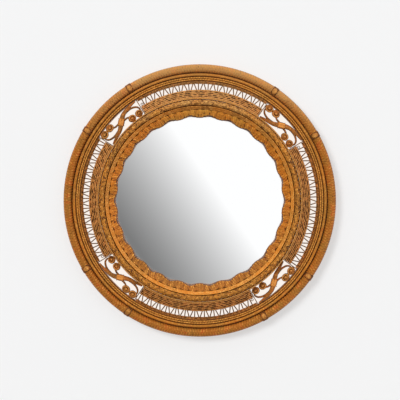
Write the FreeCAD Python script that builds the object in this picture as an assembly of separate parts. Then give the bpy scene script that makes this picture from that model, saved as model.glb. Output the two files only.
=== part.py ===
"""Round gilt wall mirror with a convex glass, built as an assembly of separate pieces.

Frame: X to the right, Z up, the glass faces -Y. The flat back of the mirror lies in the plane Y = 0 and
the origin is the centre of that back. A ring's section is given as (radius, height in front of the back).
Angles are clockwise from the top, as someone in front of the mirror reads them. Lengths are millimetres.
"""

import FreeCAD
import Part

import math
import os

from FreeCAD import Vector as V

# ---------------------------------------------------------------- overall
FRAME_DIAMETER = 900.0  # across the outer torus
SEAT_GAP = 0.1  # clearance between a curved piece and its seat
FINGER = 0.3  # clearance between pieces that are only close to each other

# ---------------------------------------------------------------- outer torus and its ties
TORUS_RADIUS = 14.2  # half the width of the torus
TORUS_RISE = 7.0  # straight side of the torus under its round
TORUS_SEAT = 31.0  # height of the ledge that the torus sits on
TIE_WALL = 3.0  # thickness of a ribbon tie
TIE_WIDTH = 19.0  # width of a tie along the rim
TIE_END_DEG = 25.0  # where a tie ends above the quirk, round the torus's section
TIE_KNOT = 5.0  # radius of the bead that covers the tie's joint
TIE_FOOT = 1.0  # height of a tie's outer end over the ledge

# ---------------------------------------------------------------- outer frame ring
MOULDING_WIDTH = 28.5  # from the torus's inner side to the frame ring's inner wall
OUTER_UNDERCUT = 10.0  # how far the back is set in under the torus
ASTRAGAL_RADIUS = 4.6
ASTRAGAL_BASE = 41.0
QUIRK_WIDTH = 2.0
QUIRK_DEPTH = 3.0
REEDS = 2  # side by side on the reeded strip
REED_WIDTH = 6.3
REED_BASE = ASTRAGAL_BASE - QUIRK_DEPTH  # the strip's seat, level with the floors of the quirks
REED_RISE = 5.0
REED_GROOVE = 2.0  # depth of the groove between two reeds

# ---------------------------------------------------------------- openwork
OUTER_RAIL_WIDTH = 8.2
OUTER_RAIL_TOP = 39.0
OUTER_RAIL_FALL = 3.5
RAIL_THICKNESS = 6.0
TRELLIS_WIDTH = 19.4  # radial width of the openwork between the rails
INNER_RAIL_WIDTH = 28.0
INNER_RAIL_LOW = 44.0
INNER_RAIL_HIGH = 60.0
BEAD_WIDTH = 4.5  # room for the bead, between the inner rail and the carrier
BEAD_RISE = 2.2

BAR_WIDTH = 3.6
BAR_DEPTH = 2.6
UNIT_DEG = 5.0  # one leaning pair and one radial bar, about; each panel holds a whole number
FIRST_CELL_DEG = 2.2  # the cell of the curl, at the clockwise side of a cartouche
LAST_CELL_DEG = 1.0
BAR_APEX_DEG = 0.33  # half the spread of a leaning pair at the outer rail
BAR_FOOT_DEG = 1.40  # half the spread at the inner rail
CURL_RADIUS = 3.6
CURL_WIRE = 1.1

STILE_THICKNESS = 3.0
STILE_LIP = 1.6  # how far a stile stands out past the faces of the rails

CARTOUCHE_ANGLES = (("ne", 47.5), ("se", 138.0), ("sw", 225.9), ("nw", 314.9))  # spaced by hand, a little unevenly
PANEL_NAMES = ("right", "bottom", "left", "top")  # each panel follows a cartouche, clockwise
WINDOW_LENGTH = 159.4  # clear window of a cartouche, between its two stiles, along the middle of the openwork

# ---------------------------------------------------------------- cartouche
SCROLL_BACK = 36.0
SCROLL_THICKNESS = 9.0
SCROLL_CHAMFER = 2.0
STEM_WAIST = 17.0
STEM_LEAF = 14.0
STEM_TIP = 6.0
COLLAR_LENGTH = 22.0
COLLAR_WIDTH = 24.0
COLLAR_RISE = 4.0
COLLAR_CHAMFER = 2.5
TENDRIL_WIDTH = 5.0
TENDRIL_ROOT = 6.5
TENDRIL_TIP = 4.0
TENDRIL_THICKNESS = 5.0
TENDRIL_SET = 1.5  # how far the tendrils' backs stand in front of the stem's
ROSETTE_LONG = 13.6
ROSETTE_SHORT = 12.2
ROSETTE_MARGIN = 0.6  # between a rosette and the moulding beside it
ROSETTE_THICKNESS = 7.0
ROSETTE_SET = 1.0
ROSETTE_BOSS = 4.2

# ---------------------------------------------------------------- inner frame
CARRIER_WALL = 41.0  # from the glass's bore to the carrier's outer wall
CARRIER_TOP = 56.0  # ledge that the inner torus sits on
CARRIER_MARGIN = 1.0  # ledge left bare outside the inner torus
INNER_TORUS_RADIUS = 10.4
INNER_TORUS_RISE = 5.0
RIDGE_TOP = 66.0
RIDGE_WIDTH = 1.6
SLOPE_WIDTH = 9.4
SLOPE_LOW = 54.0
SLIP_STEP = 1.0  # how far the slip's outer edge lies below the slope
SCALLOPS = 26
SCALLOP_DEPTH = 8.0
SLIP_BACK = 27.0
SLIP_SIGHT_EDGE = 4.0
SLIP_CREST = 17.0
FLUTE_RADIUS = 9.0
FLUTE_DEPTH = 4.2
FLUTE_START = 14.0  # how far a flute's tool starts inside the sight edge
FLUTE_END = 6.0  # and ends outside the slip
SIGHT_LAP = 11.0  # how far the sight edge stands in over the glass, at its mean radius

# ---------------------------------------------------------------- glass and what holds it
GLASS_THICKNESS = 4.0
GLASS_RISE = 23.0  # height of the dome over its edge
GLASS_EDGE = 20.0  # height of the back of the glass at its edge
GLASS_CLEARANCE = 2.0  # radial room round the glass
CUSHION_WIDTH = 5.5
BLOCKS = 8
BLOCK_LENGTH = 34.0
BLOCK_DEPTH = 15.0
BLOCK_SET = 1.0  # how far a block lies inside the edge of the glass
BOARD_THICKNESS = 6.0
BOARD_LAP = 18.0  # how far the board laps over the carrier
BOARD_CLEARANCE = 0.6
BOARD_SCREWS = 8
SCREW_RADIUS = 1.75
SCREW_HEAD = 3.5
SCREW_HEAD_DEPTH = 2.2
SCREW_LENGTH = 16.0

# ---------------------------------------------------------------- hangers
HANGER_ANGLES = (("left", -68.0), ("right", 68.0))
POCKET_WIDTH = 22.0
POCKET_UP = 20.0
POCKET_DOWN = 28.0
POCKET_DEPTH = 13.0
STRAP_WIDTH = 11.0
STRAP_LENGTH = 24.0
STRAP_THICKNESS = 1.2
RING_WIRE = 1.25  # radius of the D-ring's wire
RING_CLEARANCE = 0.08
RING_HALF_WIDTH = 8.6
RING_DROP = 15.0
STRAP_SCREW_RADIUS = 1.5
STRAP_SCREW_HEAD = 2.8
STRAP_SCREW_HEIGHT = 1.6
STRAP_SCREW_LENGTH = 12.0
STRAP_SCREW_AT = 20.5  # distance of the screw below the ring's axis

# ---------------------------------------------------------------- radii that follow from the sizes above
R_OUT = FRAME_DIAMETER / 2
R_TORUS = R_OUT - TORUS_RADIUS
R_TORUS_IN = R_TORUS - TORUS_RADIUS
R_FRAME_IN = R_TORUS_IN - MOULDING_WIDTH
R_BARS_OUT = R_FRAME_IN - OUTER_RAIL_WIDTH
R_BARS_IN = R_BARS_OUT - TRELLIS_WIDTH
R_RAIL_IN = R_BARS_IN - INNER_RAIL_WIDTH
R_CARRIER = R_RAIL_IN - BEAD_WIDTH
R_BORE = R_CARRIER - CARRIER_WALL
R_GLASS = R_BORE - GLASS_CLEARANCE
R_INNER_TORUS = R_CARRIER - CARRIER_MARGIN - INNER_TORUS_RADIUS
R_RIDGE = R_INNER_TORUS - INNER_TORUS_RADIUS - SEAT_GAP
R_SLIP = R_RIDGE - RIDGE_WIDTH - SLOPE_WIDTH
R_SIGHT = R_GLASS - SIGHT_LAP
R_SIGHT_IN = R_SIGHT - SCALLOP_DEPTH / 2
R_SIGHT_OUT = R_SIGHT + SCALLOP_DEPTH / 2
R_MID = (R_FRAME_IN + R_RAIL_IN) / 2
HALF_OPEN = (R_FRAME_IN - R_RAIL_IN) / 2  # half the width of the openwork, the unit of the scrolls' drawing
WINDOW_DEG = math.degrees(WINDOW_LENGTH / R_MID)

os.makedirs("parts", exist_ok=True)


# ---------------------------------------------------------------- helpers
def save(name, *solids):
    """Write one node; several solids go in as a group."""
    shape = solids[0] if len(solids) == 1 else Part.makeCompound(list(solids))
    shape.exportStep("parts/" + name + ".step")


def at(angle, radius, height=0.0):
    """The point at a clockwise angle from the top, a radius and a height in front of the back."""
    a = math.radians(angle)
    return V(radius * math.sin(a), -height, radius * math.cos(a))


def section(points):
    """A closed wire from (radius, height) corners; ("arc", through, end) makes an arc from the last corner."""
    edges = []
    here = first = points[0]
    for step in list(points[1:]) + [first]:
        if step[0] == "arc":
            through, end = step[1], step[2]
            edges.append(Part.Arc(*[V(r, -h, 0) for r, h in (here, through, end)]).toShape())
            here = end
        elif step != here:
            edges.append(Part.makeLine(V(here[0], -here[1], 0), V(step[0], -step[1], 0)))
            here = step
    return Part.Wire(edges)


def ring(points, start=0.0, span=360.0):
    """Turn a section about the mirror's axis, from a clockwise start angle through a span."""
    face = Part.Face(section(points))
    turned = face.revolve(V(0, 0, 0), V(0, 1, 0), span)
    # the section lies on +X, which is 90 degrees clockwise from the top
    turned.rotate(V(0, 0, 0), V(0, 1, 0), start - 90.0)
    return solid(turned)


def solid(shape):
    """The single solid of a shape, turned outwards."""
    one = shape.Solids[0]
    if one.Volume < 0:
        one.reverse()
    return one


def chamfered(shape, size, height):
    """Chamfer the edges of a shape that lie on the plane at this height in front of the back."""
    edges = [e for e in shape.Edges if all(abs(v.Point.y + height) < 1e-4 for v in e.Vertexes)]
    return solid(shape.makeChamfer(size, edges))


def turned_about_axis(shape, angle):
    """A copy of a shape, turned clockwise about the mirror's axis."""
    copy = shape.copy()
    copy.rotate(V(0, 0, 0), V(0, 1, 0), angle)
    return copy


# ---------------------------------------------------------------- outer frame
def outer_frame_ring():
    """The turned ring that carries everything: torus ledge, astragal, seat of the reeded strip, pockets."""
    r_quirk = R_TORUS_IN - QUIRK_WIDTH
    r_astragal = r_quirk - 2 * ASTRAGAL_RADIUS
    r_reed_out = r_astragal - QUIRK_WIDTH
    quirk = REED_BASE
    body = ring([
        (R_FRAME_IN, 0), (R_OUT - OUTER_UNDERCUT, 0), (R_OUT - OUTER_UNDERCUT / 3, TORUS_SEAT),
        (R_TORUS_IN, TORUS_SEAT), (R_TORUS_IN, quirk), (r_quirk, quirk), (r_quirk, ASTRAGAL_BASE),
        ("arc", (r_quirk - ASTRAGAL_RADIUS, ASTRAGAL_BASE + ASTRAGAL_RADIUS), (r_astragal, ASTRAGAL_BASE)),
        (r_astragal, quirk), (r_reed_out, quirk), (R_FRAME_IN, quirk),
    ])
    for _, angle in HANGER_ANGLES:
        body = body.cut(hanger_pocket(angle))
        body = body.cut(strap_screw_shank(angle, SEAT_GAP))
    return solid(body)


def outer_torus():
    top = TORUS_SEAT + TORUS_RISE
    inner = R_TORUS_IN + SEAT_GAP
    r_mid = (inner + R_OUT) / 2
    radius = (R_OUT - inner) / 2
    return ring([(inner, TORUS_SEAT), (R_OUT, TORUS_SEAT), (R_OUT, top),
                 ("arc", (r_mid, top + radius), (inner, top))])


def ribbon_tie(angle):
    """A band bent over the torus, with an oval bead on its crest."""
    span = math.degrees(TIE_WIDTH / R_TORUS)
    top = TORUS_SEAT + TORUS_RISE
    low = TORUS_RADIUS + FINGER
    high = low + TIE_WALL
    foot = TORUS_SEAT + TIE_FOOT
    c, d = math.cos(math.radians(TIE_END_DEG)), math.sin(math.radians(TIE_END_DEG))
    band = ring([
        (R_TORUS + low, foot), (R_TORUS + high, foot), (R_TORUS + high, top),
        ("arc", (R_TORUS, top + high), (R_TORUS - high * c, top + high * d)),
        (R_TORUS - low * c, top + low * d),
        ("arc", (R_TORUS, top + low), (R_TORUS + low, top)),
    ], angle - span / 2, span)
    knot = Part.makeSphere(TIE_KNOT, at(angle, R_TORUS, top + high - TIE_KNOT * 0.35))
    keep = ring([
        (R_TORUS + 2 * TIE_KNOT, top + low * 0.75), (R_TORUS + 2 * TIE_KNOT, top + 2 * high),
        (R_TORUS - 2 * TIE_KNOT, top + 2 * high), (R_TORUS - 2 * TIE_KNOT, top + low * 0.75),
        ("arc", (R_TORUS, top + low), (R_TORUS + 2 * TIE_KNOT, top + low * 0.75)),
    ], angle - span, 2 * span)
    return solid(band.fuse(knot.common(keep)).removeSplitter())


def crowned_band(inner, outer, base, edge, rise):
    """A ring with upright sides from its base to its edge, and five flats over its top."""
    width = outer - inner
    return ring([(inner, base), (outer, base), (outer, edge), (outer - width * 0.12, edge + rise * 0.65),
                 (outer - width * 0.32, edge + rise), (inner + width * 0.32, edge + rise),
                 (inner + width * 0.12, edge + rise * 0.65), (inner, edge)])


def reeded_strip():
    """The ribbed strip: low reeds side by side, each crowned in three flats."""
    r_out = R_TORUS_IN - 2 * QUIRK_WIDTH - 2 * ASTRAGAL_RADIUS - SEAT_GAP
    r_in = r_out - REEDS * REED_WIDTH
    high = REED_BASE + REED_RISE
    low = high - REED_GROOVE
    points = [(r_in, low), (r_in, REED_BASE), (r_out, REED_BASE)]
    for i in range(REEDS):
        outer = r_out - i * REED_WIDTH
        points += [(outer, low), (outer - REED_WIDTH * 0.3, high), (outer - REED_WIDTH * 0.7, high)]
    return ring(points)


# ---------------------------------------------------------------- openwork
def stile_deg():
    """The angle that a stile takes up, with the room between it and the ends of the rails."""
    return math.degrees((STILE_THICKNESS + FINGER) / R_RAIL_IN)


def panel(i):
    """Start angle and span of the openwork between one cartouche and the next."""
    angles = [angle for _, angle in CARTOUCHE_ANGLES] + [CARTOUCHE_ANGLES[0][1] + 360.0]
    edge = WINDOW_DEG / 2 + stile_deg()
    return angles[i] + edge, angles[i + 1] - angles[i] - 2 * edge


def outer_rail(i):
    start, span = panel(i)
    inner = R_BARS_OUT
    low = OUTER_RAIL_TOP - OUTER_RAIL_FALL
    return ring([
        (R_FRAME_IN - SEAT_GAP, OUTER_RAIL_TOP - RAIL_THICKNESS), (R_FRAME_IN - SEAT_GAP, OUTER_RAIL_TOP),
        (inner, low), (inner, low - RAIL_THICKNESS),
    ], start, span)


def inner_rail(i):
    start, span = panel(i)
    inner = R_RAIL_IN
    return ring([
        (inner, INNER_RAIL_HIGH - RAIL_THICKNESS), (inner, INNER_RAIL_HIGH), (R_BARS_IN, INNER_RAIL_LOW),
        (R_BARS_IN, INNER_RAIL_LOW - RAIL_THICKNESS),
    ], start, span)


def bar_between(foot, head):
    """One trellis bar from an angle on the inner rail to an angle on the outer rail."""
    low = INNER_RAIL_LOW - (RAIL_THICKNESS + BAR_DEPTH) / 2
    high = OUTER_RAIL_TOP - OUTER_RAIL_FALL - (RAIL_THICKNESS + BAR_DEPTH) / 2
    a = at(foot, R_BARS_IN + SEAT_GAP, low)
    b = at(head, R_BARS_OUT - SEAT_GAP, high)
    lean = math.radians(head - foot) * R_MID / TRELLIS_WIDTH
    half = at((foot + head) / 2 + 90.0, BAR_WIDTH / 2 * math.hypot(1.0, lean))
    face = Part.Face(Part.makePolygon([a - half, a + half, b + half, b - half, a - half]))
    return solid(face.extrude(V(0, -BAR_DEPTH, 0)))


def curl(angle):
    """The small closed curl that stands on the inner rail in the first cell of a panel."""
    radius = CURL_RADIUS + CURL_WIRE
    middle = at(angle, R_BARS_IN + SEAT_GAP + radius, INNER_RAIL_LOW - RAIL_THICKNESS / 2)
    return Part.makeTorus(CURL_RADIUS, CURL_WIRE, middle, V(0, 1, 0))


def trellis(i):
    """One panel: leaning pairs whose apex is at the outer rail, radial bars between them, and the curl."""
    start, span = panel(i)
    room = span - FIRST_CELL_DEG - LAST_CELL_DEG
    units = round(room / UNIT_DEG)
    pitch = room / units
    first = start + FIRST_CELL_DEG
    bars = [curl(start + FIRST_CELL_DEG / 2), bar_between(first, first)]
    for k in range(units):
        middle = first + (k + 0.5) * pitch
        bars.append(bar_between(middle - BAR_FOOT_DEG, middle - BAR_APEX_DEG))
        bars.append(bar_between(middle + BAR_FOOT_DEG, middle + BAR_APEX_DEG))
        bars.append(bar_between(middle + pitch / 2, middle + pitch / 2))
    return bars


def end_stile(angle, side):
    """A flat plate across the ends of both rails; side is +1 clockwise of the window, -1 before it."""
    low = OUTER_RAIL_TOP - OUTER_RAIL_FALL
    profile = [
        (R_RAIL_IN, INNER_RAIL_HIGH + STILE_LIP), (R_BARS_IN, INNER_RAIL_LOW + STILE_LIP),
        (R_BARS_OUT, low + STILE_LIP), (R_FRAME_IN - FINGER, OUTER_RAIL_TOP + STILE_LIP / 2),
        (R_FRAME_IN - FINGER, OUTER_RAIL_TOP - RAIL_THICKNESS - STILE_LIP), (R_BARS_OUT, low - RAIL_THICKNESS),
        (R_BARS_IN, INNER_RAIL_LOW - RAIL_THICKNESS - STILE_LIP), (R_RAIL_IN, INNER_RAIL_HIGH - 2 * RAIL_THICKNESS),
    ]
    where = angle + side * WINDOW_DEG / 2
    corners = [at(where, r, h) for r, h in profile]
    face = Part.Face(Part.makePolygon(corners + [corners[0]]))
    return solid(face.extrude(at(where + 90.0, side * STILE_THICKNESS)))


# ---------------------------------------------------------------- cartouche
def on_arc(angle, s, v, height):
    """A point of the cartouche's drawing: s along the ring, clockwise, and v outwards from its middle line."""
    return at(angle + math.degrees(s / R_MID), R_MID + v, height)


def spline(points):
    curve = Part.BSplineCurve()
    curve.interpolate(points)
    return curve.toShape()


def ribbon(angle, line, widths, low, high):
    """A flat scroll along a line of (s, v) points, with its own width at each, from one height to another."""
    left, right = [], []
    for i, (s, v) in enumerate(line):
        a = line[max(i - 1, 0)]
        b = line[min(i + 1, len(line) - 1)]
        length = math.hypot(b[0] - a[0], b[1] - a[1])
        ns, nv = -(b[1] - a[1]) / length, (b[0] - a[0]) / length
        w = widths[i] / 2
        left.append(on_arc(angle, s + ns * w, v + nv * w, low))
        right.append(on_arc(angle, s - ns * w, v - nv * w, low))
    edges = [spline(left), Part.makeLine(left[-1], right[-1]), spline(right[::-1]), Part.makeLine(right[0], left[0])]
    return solid(Part.Face(Part.Wire(edges)).extrude(V(0, low - high, 0)))


def rosette_places():
    """Middles of the four rosettes: a pair by the outer moulding, and a pair half round from it."""
    v = HALF_OPEN - ROSETTE_SHORT - ROSETTE_MARGIN
    places = []
    for side in (1, -1):
        first = math.radians(WINDOW_DEG / 2) - (ROSETTE_LONG + 2 * FINGER) / (R_MID + side * v)
        second = first - (2 * ROSETTE_LONG + 2 * FINGER) / (R_MID + side * v)
        places += [(-side * first * R_MID, side * v), (-side * second * R_MID, side * v)]
    return places


def ellipse_prism(angle, s, v, long, short, low, high):
    middle = on_arc(angle, s, v, low)
    radial = at(angle + math.degrees(s / R_MID), 1.0)
    along = at(angle + math.degrees(s / R_MID) + 90.0, 1.0)
    curve = Part.Ellipse(middle + along * long, middle + radial * short, middle)
    return solid(Part.Face(Part.Wire(curve.toShape())).extrude(V(0, low - high, 0)))


def rosette(angle, s, v):
    """An oval bud: a thick disc, a smaller one on it and a round boss."""
    base = SCROLL_BACK + ROSETTE_SET
    first = base + ROSETTE_THICKNESS * 0.6
    top = base + ROSETTE_THICKNESS
    body = ellipse_prism(angle, s, v, ROSETTE_LONG, ROSETTE_SHORT, base, first)
    body = body.fuse(ellipse_prism(angle, s, v, ROSETTE_LONG * 0.68, ROSETTE_SHORT * 0.68, base + ROSETTE_THICKNESS / 2, top))
    boss = Part.makeSphere(ROSETTE_BOSS, on_arc(angle, s, v, top - ROSETTE_BOSS / 14))
    return solid(body.fuse(boss).removeSplitter())


def tendrils(angle, turn):
    """The two thin scrolls on one side of the stem; turn = -1 gives the pair turned half round."""
    base = SCROLL_BACK + TENDRIL_SET
    top = base + TENDRIL_THICKNESS
    outer = [(-0.43, -0.31), (-1.08, -0.52), (-1.87, -0.52), (-2.55, -0.23), (-2.79, 0.16), (-2.72, 0.47)]
    inner = [(-0.07, 0.11), (-0.40, 0.07), (-0.79, 0.09), (-1.12, 0.22), (-1.30, 0.43)]
    widths = [TENDRIL_ROOT] + [TENDRIL_WIDTH] * 4 + [TENDRIL_TIP]
    shapes = []
    for line in (outer, inner):
        turned = [(s * turn * HALF_OPEN, v * turn * HALF_OPEN) for s, v in line]
        shapes.append(ribbon(angle, turned, widths[:len(line)], base, top))
    return shapes


def cartouche(angle):
    """The pierced scroll: an S-shaped stem with a collar at its middle and two tendrils on each side."""
    stem = [(-2.84, -1.07), (-1.73, -0.80), (-0.79, -0.53), (0.0, 0.0), (0.79, 0.53), (1.73, 0.80), (2.84, 1.07)]
    line = [(s * HALF_OPEN, v * HALF_OPEN) for s, v in stem]
    widths = [STEM_TIP, STEM_LEAF * 0.75, STEM_LEAF, STEM_WAIST, STEM_LEAF, STEM_LEAF * 0.75, STEM_TIP]
    body = ribbon(angle, line, widths, SCROLL_BACK, SCROLL_BACK + SCROLL_THICKNESS)
    body = chamfered(body, SCROLL_CHAMFER, SCROLL_BACK + SCROLL_THICKNESS)
    for turn in (1, -1):
        for shape in tendrils(angle, turn):
            body = body.fuse(shape)
    tilt = math.degrees(math.atan2(stem[4][1], stem[4][0]))
    collar = Part.makeBox(COLLAR_LENGTH, SCROLL_THICKNESS + COLLAR_RISE, COLLAR_WIDTH)
    collar.translate(V(-COLLAR_LENGTH / 2, -SCROLL_BACK - SCROLL_THICKNESS - COLLAR_RISE, -COLLAR_WIDTH / 2))
    collar = chamfered(collar, COLLAR_CHAMFER, SCROLL_BACK + SCROLL_THICKNESS + COLLAR_RISE)
    collar.rotate(V(0, 0, 0), V(0, 1, 0), -tilt)
    collar.translate(V(0, 0, R_MID))
    body = body.fuse(turned_about_axis(collar, angle))
    for s, v in rosette_places():
        socket = ellipse_prism(angle, s, v, ROSETTE_LONG + SEAT_GAP, ROSETTE_SHORT + SEAT_GAP, 0, 3 * SCROLL_BACK)
        body = body.cut(socket)
    spare = math.degrees(FINGER / R_RAIL_IN)
    top = 3 * SCROLL_BACK
    keep = ring([(R_RAIL_IN, 0), (R_FRAME_IN - SEAT_GAP, 0), (R_FRAME_IN - SEAT_GAP, top), (R_RAIL_IN, top)],
                angle - WINDOW_DEG / 2 + spare, WINDOW_DEG - 2 * spare)
    body = body.common(keep)
    biggest = max(body.Solids, key=lambda one: one.Volume)
    return biggest


# ---------------------------------------------------------------- inner frame
def carrier_ring():
    """The inner ring: bore for the glass, shoulder of the slip, plain slope, ridge and the torus's ledge."""
    board_r = R_BORE + BOARD_LAP
    body = ring([
        (R_BORE, BOARD_THICKNESS), (board_r, BOARD_THICKNESS), (board_r, 0), (R_CARRIER, 0),
        (R_CARRIER, CARRIER_TOP), (R_RIDGE, CARRIER_TOP), (R_RIDGE, RIDGE_TOP), (R_RIDGE - RIDGE_WIDTH, RIDGE_TOP),
        (R_SLIP, SLOPE_LOW), (R_SLIP, SLIP_BACK), (R_BORE, SLIP_BACK),
    ])
    for i in range(BOARD_SCREWS):
        body = body.cut(board_screw_shank(i, SEAT_GAP))
    return solid(body)


def inner_bead():
    base = INNER_RAIL_HIGH - RAIL_THICKNESS
    return crowned_band(R_CARRIER + SEAT_GAP, R_RAIL_IN - SEAT_GAP, base, INNER_RAIL_HIGH, BEAD_RISE)


def inner_torus():
    top = CARRIER_TOP + INNER_TORUS_RISE
    inner = R_RIDGE + SEAT_GAP
    outer = R_INNER_TORUS + INNER_TORUS_RADIUS
    middle = (inner + outer) / 2
    return ring([(inner, CARRIER_TOP), (outer, CARRIER_TOP), (outer, top),
                 ("arc", (middle, top + (outer - inner) / 2), (inner, top))])


def scallop_opening(radius_in, radius_out):
    """A prism through the sight, bounded by a wave: an inward and an outward round for each scallop."""
    step = 360.0 / SCALLOPS
    middle = (radius_in + radius_out) / 2
    edges = []
    for i in range(SCALLOPS):
        for first, peak in ((-0.25, radius_in), (0.25, radius_out)):
            a = at((i + first) * step, middle)
            b = at((i + first + 0.25) * step, peak)
            c = at((i + first + 0.5) * step, middle)
            edges.append(Part.Arc(a, b, c).toShape())
    return solid(Part.Face(Part.Wire(edges)).extrude(V(0, -3 * RIDGE_TOP, 0)))


def sight_slip():
    """The ruffled slip: a bowed ring, fluted between its scallops and cut to them at the sight edge."""
    low = SLIP_BACK
    edge = low + SLIP_SIGHT_EDGE
    outer = R_SLIP - SEAT_GAP
    high = SLOPE_LOW - SLIP_STEP
    start = R_SIGHT_IN - SLIP_STEP
    crest_r = (R_SIGHT_IN + outer) / 2 - 2 * SLIP_STEP
    body = ring([(start, low), (outer, low), (outer, high), ("arc", (crest_r, low + SLIP_CREST), (start, edge))])
    body = body.cut(scallop_opening(R_SIGHT_IN, R_SIGHT_OUT))
    step = 360.0 / SCALLOPS
    a = V(R_SIGHT_OUT - FLUTE_START, -(edge + FLUTE_RADIUS + SLIP_STEP), 0)
    b = V(outer + FLUTE_END, -(high + FLUTE_RADIUS + FLUTE_DEPTH * 0.6), 0)
    flute = Part.makeCylinder(FLUTE_RADIUS, (b - a).Length, a, b - a)
    for i in range(SCALLOPS):
        body = body.cut(turned_about_axis(flute, (i + 0.5) * step - 90.0))
    return solid(body)


# ---------------------------------------------------------------- glass and what holds it
def dome_radius():
    return (R_GLASS ** 2 + GLASS_RISE ** 2) / (2 * GLASS_RISE)


def dome_height(radius, edge_height):
    """Height of a dome with this height at the glass's edge, at some radius."""
    big = dome_radius()
    return edge_height + GLASS_RISE - big + math.sqrt(big ** 2 - radius ** 2)


def mirror_glass():
    half = R_GLASS / 2
    back, front = GLASS_EDGE, GLASS_EDGE + GLASS_THICKNESS
    return ring([
        (0, dome_height(0, back)), ("arc", (half, dome_height(half, back)), (R_GLASS, back)),
        (R_GLASS, front), ("arc", (half, dome_height(half, front)), (0, dome_height(0, front))),
    ])


def glass_cushion():
    """A soft ring between the glass's edge and the back of the slip."""
    outer = R_GLASS - SEAT_GAP
    inner = outer - CUSHION_WIDTH
    front = GLASS_EDGE + GLASS_THICKNESS
    return ring([(inner, dome_height(inner, front) + SEAT_GAP), (outer, dome_height(outer, front) + SEAT_GAP),
                 (outer, SLIP_BACK - SEAT_GAP), (inner, SLIP_BACK - SEAT_GAP)])


def glazing_blocks():
    """Wooden blocks on the board, behind the glass's edge."""
    blocks = []
    for i in range(BLOCKS):
        block = Part.makeBox(BLOCK_LENGTH, GLASS_EDGE - BOARD_THICKNESS - SEAT_GAP, BLOCK_DEPTH)
        block.translate(V(-BLOCK_LENGTH / 2, -GLASS_EDGE + SEAT_GAP, R_GLASS - BLOCK_DEPTH - BLOCK_SET))
        blocks.append(turned_about_axis(block, (i + 0.5) * 360.0 / BLOCKS))
    return blocks


def board_screw_at(i):
    return i * 360.0 / BOARD_SCREWS, R_BORE + BOARD_LAP / 2


def board_screw_shank(i, gap):
    angle, radius = board_screw_at(i)
    return Part.makeCylinder(SCREW_RADIUS + gap, SCREW_LENGTH + gap, at(angle, radius, 0), V(0, -1, 0))


def board_screw_head(i, gap):
    angle, radius = board_screw_at(i)
    return Part.makeCone(SCREW_HEAD + gap, SCREW_RADIUS + gap, SCREW_HEAD_DEPTH, at(angle, radius, 0), V(0, -1, 0))


def backing_board():
    board = Part.makeCylinder(R_BORE + BOARD_LAP - BOARD_CLEARANCE, BOARD_THICKNESS, V(0, 0, 0), V(0, -1, 0))
    for i in range(BOARD_SCREWS):
        board = board.cut(board_screw_head(i, SEAT_GAP)).cut(board_screw_shank(i, SEAT_GAP))
    return solid(board)


def board_screws():
    return [solid(board_screw_head(i, 0).fuse(board_screw_shank(i, 0))) for i in range(BOARD_SCREWS)]


# ---------------------------------------------------------------- hangers
# A hanger is drawn at the top of the ring: x across the strap, z along the rim, towards the left of the top,
# and then turned to its place, where its ring points down along the rim.
def hanger_side(angle):
    return 1.0 if angle > 0 else -1.0


def hanger_radius():
    return (R_FRAME_IN + R_OUT - OUTER_UNDERCUT) / 2


def placed(shape, angle):
    """Stand a hanger, drawn about the origin with its ring hanging along -Z, in its pocket on the rim."""
    copy = shape.copy()
    copy.rotate(V(0, 0, 0), V(0, 1, 0), angle - hanger_side(angle) * 90.0)
    copy.translate(at(angle, hanger_radius()))
    return copy


def ring_axis_height():
    """Height of the D-ring's axis, which lies against the floor of the pocket but for the knuckle's wall."""
    return POCKET_DEPTH - STRAP_THICKNESS - RING_WIRE - RING_CLEARANCE


def hanger_pocket(angle):
    pocket = Part.makeBox(POCKET_WIDTH, 2 * POCKET_DEPTH, POCKET_UP + POCKET_DOWN)
    pocket.translate(V(-POCKET_WIDTH / 2, -POCKET_DEPTH, -POCKET_DOWN))
    return placed(pocket, angle)


def hanger_strap(angle):
    """A flat strap rolled into a knuckle at its top."""
    knuckle_in = RING_WIRE + RING_CLEARANCE
    knuckle_out = knuckle_in + STRAP_THICKNESS
    h = ring_axis_height()
    plate = Part.makeBox(STRAP_WIDTH, STRAP_THICKNESS, STRAP_LENGTH)
    plate.translate(V(-STRAP_WIDTH / 2, -POCKET_DEPTH, -STRAP_LENGTH))
    middle = V(-STRAP_WIDTH / 2, -h, 0)
    knuckle = Part.makeCylinder(knuckle_out, STRAP_WIDTH, middle, V(1, 0, 0))
    body = plate.fuse(knuckle).cut(Part.makeCylinder(knuckle_in, STRAP_WIDTH, middle, V(1, 0, 0)))
    hole = Part.makeCylinder(STRAP_SCREW_RADIUS + SEAT_GAP, STRAP_THICKNESS, V(0, -POCKET_DEPTH, -STRAP_SCREW_AT),
                             V(0, 1, 0))
    return placed(solid(body.cut(hole).removeSplitter()), angle)


def d_ring(angle):
    """A D of round wire: the straight side runs through the knuckle, the bow hangs below it."""
    h = ring_axis_height()
    w, drop, r = RING_HALF_WIDTH, RING_DROP, 2 * RING_WIRE
    bow = drop - w
    c = math.cos(math.radians(45)) * w
    k = r * (1 - math.cos(math.radians(45)))
    edges = [
        Part.makeLine(V(-w + r, -h, 0), V(w - r, -h, 0)),
        Part.Arc(V(w - r, -h, 0), V(w - k, -h, -k), V(w, -h, -r)).toShape(),
        Part.makeLine(V(w, -h, -r), V(w, -h, -bow)),
        Part.Arc(V(w, -h, -bow), V(c, -h, -bow - c), V(0, -h, -bow - w)).toShape(),
        Part.Arc(V(0, -h, -bow - w), V(-c, -h, -bow - c), V(-w, -h, -bow)).toShape(),
        Part.makeLine(V(-w, -h, -bow), V(-w, -h, -r)),
        Part.Arc(V(-w, -h, -r), V(-w + k, -h, -k), V(-w + r, -h, 0)).toShape(),
    ]
    section_face = Part.Wire(Part.makeCircle(RING_WIRE, V(-w + r, -h, 0), V(1, 0, 0)))
    body = Part.Wire(edges).makePipeShell([section_face], True, True)
    return placed(solid(body), angle)


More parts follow.
